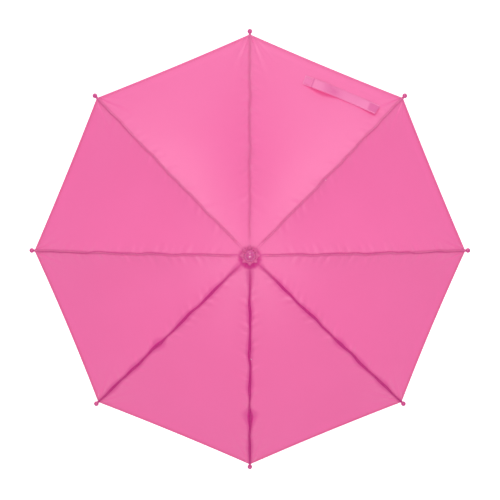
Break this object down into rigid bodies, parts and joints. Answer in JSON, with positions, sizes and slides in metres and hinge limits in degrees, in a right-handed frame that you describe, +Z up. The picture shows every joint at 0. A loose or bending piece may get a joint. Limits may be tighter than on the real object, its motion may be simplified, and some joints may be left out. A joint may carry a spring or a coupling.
{
  "type": "children's umbrella",
  "caption": "Children's stick umbrella with a J handle, shown open: gored pink canopy, ribs and stretchers on a sliding runner, ball tips and a closing strap.",
  "frame": {"origin": "centre of the handle's straight grip, on the shaft's axis", "axes": "+Z up along the shaft to the ferrule, +X along rib 1 and towards the open side of the hook"},
  "size_m": [0.7014, 0.7014, 0.5395],
  "materials": {
    "pink_fabric": "satin",
    "pink_tape": "matte",
    "felt": "matte",
    "ferrule_plastic": "gloss",
    "tip_plastic": "gloss",
    "handle_plastic": "gloss",
    "white_plastic": "gloss",
    "bright_steel": "polished",
    "steel": "satin"
  },
  "bodies": {
    "stem": {"shaft": "bright_steel", "shaft_pins": "steel", "handle": "handle_plastic", "handle_collar": "white_plastic", "ferrule": "ferrule_plastic", "rosette": "pink_fabric", "inner_rosette": "felt", "canopy_centre": "pink_fabric", "crown": "white_plastic", "crown_wire": "steel"},
    "top_catch": {"top_catch": "steel"},
    "bottom_catch": {"bottom_catch": "steel"},
    "rib_1": {"rib_1": "bright_steel", "rib_tip_1": "tip_plastic"},
    "rib_2": {"rib_2": "bright_steel", "rib_tip_2": "tip_plastic"},
    "rib_3": {"rib_3": "bright_steel", "rib_tip_3": "tip_plastic"},
    "rib_4": {"rib_4": "bright_steel", "rib_tip_4": "tip_plastic"},
    "rib_5": {"rib_5": "bright_steel", "rib_tip_5": "tip_plastic"},
    "rib_6": {"rib_6": "bright_steel", "rib_tip_6": "tip_plastic"},
    "rib_7": {"rib_7": "bright_steel", "rib_tip_7": "tip_plastic"},
    "rib_8": {"rib_8": "bright_steel", "rib_tip_8": "tip_plastic"},
    "stretcher_1": {"stretcher_1": "bright_steel"},
    "stretcher_2": {"stretcher_2": "bright_steel"},
    "stretcher_3": {"stretcher_3": "bright_steel"},
    "stretcher_4": {"stretcher_4": "bright_steel"},
    "stretcher_5": {"stretcher_5": "bright_steel"},
    "stretcher_6": {"stretcher_6": "bright_steel"},
    "stretcher_7": {"stretcher_7": "bright_steel"},
    "stretcher_8": {"stretcher_8": "bright_steel"},
    "runner": {"runner": "white_plastic", "runner_wire": "steel"},
    "panel_1_left": {"canopy_panel_1_left": "pink_fabric"},
    "panel_1_right": {"canopy_panel_1_right": "pink_fabric"},
    "panel_2_left": {"canopy_panel_2_left": "pink_fabric"},
    "panel_2_right": {"canopy_panel_2_right": "pink_fabric"},
    "panel_3_left": {"canopy_panel_3_left": "pink_fabric"},
    "panel_3_right": {"canopy_panel_3_right": "pink_fabric"},
    "panel_4_left": {"canopy_panel_4_left": "pink_fabric"},
    "panel_4_right": {"canopy_panel_4_right": "pink_fabric"},
    "panel_5_left": {"canopy_panel_5_left": "pink_fabric"},
    "panel_5_right": {"canopy_panel_5_right": "pink_fabric"},
    "panel_6_left": {"canopy_panel_6_left": "pink_fabric"},
    "panel_6_right": {"canopy_panel_6_right": "pink_fabric"},
    "panel_7_left": {"canopy_panel_7_left": "pink_fabric"},
    "panel_7_right": {"canopy_panel_7_right": "pink_fabric"},
    "panel_8_left": {"canopy_panel_8_left": "pink_fabric"},
    "panel_8_right": {"canopy_panel_8_right": "pink_fabric"},
    "strap": {"strap": "pink_fabric", "strap_loop_tape": "pink_tape", "strap_hook_tape": "pink_tape"}
  },
  "joints": [
    {"name": "rib_1_fold", "type": "hinge", "parent": "stem", "child": "rib_1", "pos_m": [0.011, 0, 0.44], "axis": [0, 1, 0], "range_deg": [0, 67.2], "deforming": ["canopy_panel_1_left", "canopy_panel_1_right", "canopy_panel_2_left", "canopy_panel_2_right", "canopy_panel_3_left", "canopy_panel_3_right", "canopy_panel_4_left", "canopy_panel_4_right", "canopy_panel_5_left", "canopy_panel_5_right", "canopy_panel_6_left", "canopy_panel_6_right", "canopy_panel_7_left", "canopy_panel_7_right", "canopy_panel_8_left", "canopy_panel_8_right", "top_catch", "bottom_catch", "strap", "strap_loop_tape", "strap_hook_tape"]},
    {"name": "rib_2_fold", "type": "hinge", "parent": "stem", "child": "rib_2", "pos_m": [0.00778, 0.00778, 0.44], "axis": [-0.7071, 0.7071, 0], "range_deg": [0, 67.2]},
    {"name": "rib_3_fold", "type": "hinge", "parent": "stem", "child": "rib_3", "pos_m": [0, 0.011, 0.44], "axis": [-1, 0, 0], "range_deg": [0, 67.2]},
    {"name": "rib_4_fold", "type": "hinge", "parent": "stem", "child": "rib_4", "pos_m": [-0.00778, 0.00778, 0.44], "axis": [-0.7071, -0.7071, 0], "range_deg": [0, 67.2]},
    {"name": "rib_5_fold", "type": "hinge", "parent": "stem", "child": "rib_5", "pos_m": [-0.011, 0, 0.44], "axis": [0, -1, 0], "range_deg": [0, 67.2]},
    {"name": "rib_6_fold", "type": "hinge", "parent": "stem", "child": "rib_6", "pos_m": [-0.00778, -0.00778, 0.44], "axis": [0.7071, -0.7071, 0], "range_deg": [0, 67.2]},
    {"name": "rib_7_fold", "type": "hinge", "parent": "stem", "child": "rib_7", "pos_m": [0, -0.011, 0.44], "axis": [1, 0, 0], "range_deg": [0, 67.2]},
    {"name": "rib_8_fold", "type": "hinge", "parent": "stem", "child": "rib_8", "pos_m": [0.00778, -0.00778, 0.44], "axis": [0.7071, 0.7071, 0], "range_deg": [0, 67.2]},
    {"name": "stretcher_1_swing", "type": "hinge", "parent": "rib_1", "child": "stretcher_1", "pos_m": [0.16325, 0, 0.40262], "axis": [0, 1, 0], "range_deg": [-134.4, 0]},
    {"name": "stretcher_2_swing", "type": "hinge", "parent": "rib_2", "child": "stretcher_2", "pos_m": [0.11543, 0.11543, 0.40262], "axis": [-0.7071, 0.7071, 0], "range_deg": [-134.4, 0]},
    {"name": "stretcher_3_swing", "type": "hinge", "parent": "rib_3", "child": "stretcher_3", "pos_m": [0, 0.16325, 0.40262], "axis": [-1, 0, 0], "range_deg": [-134.4, 0]},
    {"name": "stretcher_4_swing", "type": "hinge", "parent": "rib_4", "child": "stretcher_4", "pos_m": [-0.11543, 0.11543, 0.40262], "axis": [-0.7071, -0.7071, 0], "range_deg": [-134.4, 0]},
    {"name": "stretcher_5_swing", "type": "hinge", "parent": "rib_5", "child": "stretcher_5", "pos_m": [-0.16325, 0, 0.40262], "axis": [0, -1, 0], "range_deg": [-134.4, 0]},
    {"name": "stretcher_6_swing", "type": "hinge", "parent": "rib_6", "child": "stretcher_6", "pos_m": [-0.11543, -0.11543, 0.40262], "axis": [0.7071, -0.7071, 0], "range_deg": [-134.4, 0]},
    {"name": "stretcher_7_swing", "type": "hinge", "parent": "rib_7", "child": "stretcher_7", "pos_m": [0, -0.16325, 0.40262], "axis": [1, 0, 0], "range_deg": [-134.4, 0]},
    {"name": "stretcher_8_swing", "type": "hinge", "parent": "rib_8", "child": "stretcher_8", "pos_m": [0.11543, -0.11543, 0.40262], "axis": [0.7071, 0.7071, 0], "range_deg": [-134.4, 0]},
    {"name": "runner_pivot", "type": "hinge", "parent": "stretcher_1", "child": "runner", "pos_m": [0.011, 0, 0.36525], "axis": [0, 1, 0], "range_deg": [0, 67.2]},
    {"name": "panel_1_left_gather", "type": "slide", "parent": "rib_1", "child": "panel_1_left", "axis": [0.1145, -0.9554, 0.2724], "range_m": [0, 0.10163]},
    {"name": "panel_1_right_gather", "type": "slide", "parent": "rib_2", "child": "panel_1_right", "axis": [-0.5946, 0.7565, 0.2724], "range_m": [0, 0.10163]},
    {"name": "panel_2_left_gather", "type": "slide", "parent": "rib_2", "child": "panel_2_left", "axis": [0.7565, -0.5946, 0.2724], "range_m": [0, 0.10163]},
    {"name": "panel_2_right_gather", "type": "slide", "parent": "rib_3", "child": "panel_2_right", "axis": [-0.9554, 0.1145, 0.2724], "range_m": [0, 0.10163]},
    {"name": "panel_3_left_gather", "type": "slide", "parent": "rib_3", "child": "panel_3_left", "axis": [0.9554, 0.1145, 0.2724], "range_m": [0, 0.10163]},
    {"name": "panel_3_right_gather", "type": "slide", "parent": "rib_4", "child": "panel_3_right", "axis": [-0.7565, -0.5946, 0.2724], "range_m": [0, 0.10163]},
    {"name": "panel_4_left_gather", "type": "slide", "parent": "rib_4", "child": "panel_4_left", "axis": [0.5946, 0.7565, 0.2724], "range_m": [0, 0.10163]},
    {"name": "panel_4_right_gather", "type": "slide", "parent": "rib_5", "child": "panel_4_right", "axis": [-0.1145, -0.9554, 0.2724], "range_m": [0, 0.10163]},
    {"name": "panel_5_left_gather", "type": "slide", "parent": "rib_5", "child": "panel_5_left", "axis": [-0.1145, 0.9554, 0.2724], "range_m": [0, 0.10163]},
    {"name": "panel_5_right_gather", "type": "slide", "parent": "rib_6", "child": "panel_5_right", "axis": [0.5946, -0.7565, 0.2724], "range_m": [0, 0.10163]},
    {"name": "panel_6_left_gather", "type": "slide", "parent": "rib_6", "child": "panel_6_left", "axis": [-0.7565, 0.5946, 0.2724], "range_m": [0, 0.10163]},
    {"name": "panel_6_right_gather", "type": "slide", "parent": "rib_7", "child": "panel_6_right", "axis": [0.9554, -0.1145, 0.2724], "range_m": [0, 0.10163]},
    {"name": "panel_7_left_gather", "type": "slide", "parent": "rib_7", "child": "panel_7_left", "axis": [-0.9554, -0.1145, 0.2724], "range_m": [0, 0.10163]},
    {"name": "panel_7_right_gather", "type": "slide", "parent": "rib_8", "child": "panel_7_right", "axis": [0.7565, 0.5946, 0.2724], "range_m": [0, 0.10163]},
    {"name": "panel_8_left_gather", "type": "slide", "parent": "rib_8", "child": "panel_8_left", "axis": [-0.5946, -0.7565, 0.2724], "range_m": [0, 0.10163]},
    {"name": "panel_8_right_gather", "type": "slide", "parent": "rib_1", "child": "panel_8_right", "axis": [0.1145, 0.9554, 0.2724], "range_m": [0, 0.10163]},
    {"name": "strap_lift", "type": "hinge", "parent": "panel_2_right", "child": "strap", "pos_m": [0.08589, 0.27268, 0.34314], "axis": [-0.337, -0.8135, 0.474], "range_deg": [0, 150]},
    {"name": "top_catch_press", "type": "slide", "parent": "stem", "child": "top_catch", "axis": [-1, 0, 0], "range_m": [0, 0.0022], "stiffness_N_per_m": 800, "springref_m": -0.0002},
    {"name": "bottom_catch_press", "type": "slide", "parent": "stem", "child": "bottom_catch", "axis": [-1, 0, 0], "range_m": [0, 0.0022], "stiffness_N_per_m": 800, "springref_m": -0.0002}
  ],
  "couplings": [
    {"joint": "rib_2_fold", "follows": "rib_1_fold", "ratio": 1},
    {"joint": "rib_3_fold", "follows": "rib_1_fold", "ratio": 1},
    {"joint": "rib_4_fold", "follows": "rib_1_fold", "ratio": 1},
    {"joint": "rib_5_fold", "follows": "rib_1_fold", "ratio": 1},
    {"joint": "rib_6_fold", "follows": "rib_1_fold", "ratio": 1},
    {"joint": "rib_7_fold", "follows": "rib_1_fold", "ratio": 1},
    {"joint": "rib_8_fold", "follows": "rib_1_fold", "ratio": 1},
    {"joint": "stretcher_1_swing", "follows": "rib_1_fold", "ratio": -2},
    {"joint": "stretcher_2_swing", "follows": "rib_1_fold", "ratio": -2},
    {"joint": "stretcher_3_swing", "follows": "rib_1_fold", "ratio": -2},
    {"joint": "stretcher_4_swing", "follows": "rib_1_fold", "ratio": -2},
    {"joint": "stretcher_5_swing", "follows": "rib_1_fold", "ratio": -2},
    {"joint": "stretcher_6_swing", "follows": "rib_1_fold", "ratio": -2},
    {"joint": "stretcher_7_swing", "follows": "rib_1_fold", "ratio": -2},
    {"joint": "stretcher_8_swing", "follows": "rib_1_fold", "ratio": -2},
    {"joint": "runner_pivot", "follows": "rib_1_fold", "ratio": 1},
    {"joint": "panel_1_left_gather", "follows": "rib_1_fold", "m_per_rad": 0.086569},
    {"joint": "panel_1_right_gather", "follows": "rib_1_fold", "m_per_rad": 0.086569},
    {"joint": "panel_2_left_gather", "follows": "rib_1_fold", "m_per_rad": 0.086569},
    {"joint": "panel_2_right_gather", "follows": "rib_1_fold", "m_per_rad": 0.086569},
    {"joint": "panel_3_left_gather", "follows": "rib_1_fold", "m_per_rad": 0.086569},
    {"joint": "panel_3_right_gather", "follows": "rib_1_fold", "m_per_rad": 0.086569},
    {"joint": "panel_4_left_gather", "follows": "rib_1_fold", "m_per_rad": 0.086569},
    {"joint": "panel_4_right_gather", "follows": "rib_1_fold", "m_per_rad": 0.086569},
    {"joint": "panel_5_left_gather", "follows": "rib_1_fold", "m_per_rad": 0.086569},
    {"joint": "panel_5_right_gather", "follows": "rib_1_fold", "m_per_rad": 0.086569},
    {"joint": "panel_6_left_gather", "follows": "rib_1_fold", "m_per_rad": 0.086569},
    {"joint": "panel_6_right_gather", "follows": "rib_1_fold", "m_per_rad": 0.086569},
    {"joint": "panel_7_left_gather", "follows": "rib_1_fold", "m_per_rad": 0.086569},
    {"joint": "panel_7_right_gather", "follows": "rib_1_fold", "m_per_rad": 0.086569},
    {"joint": "panel_8_left_gather", "follows": "rib_1_fold", "m_per_rad": 0.086569},
    {"joint": "panel_8_right_gather", "follows": "rib_1_fold", "m_per_rad": 0.086569}
  ]
}
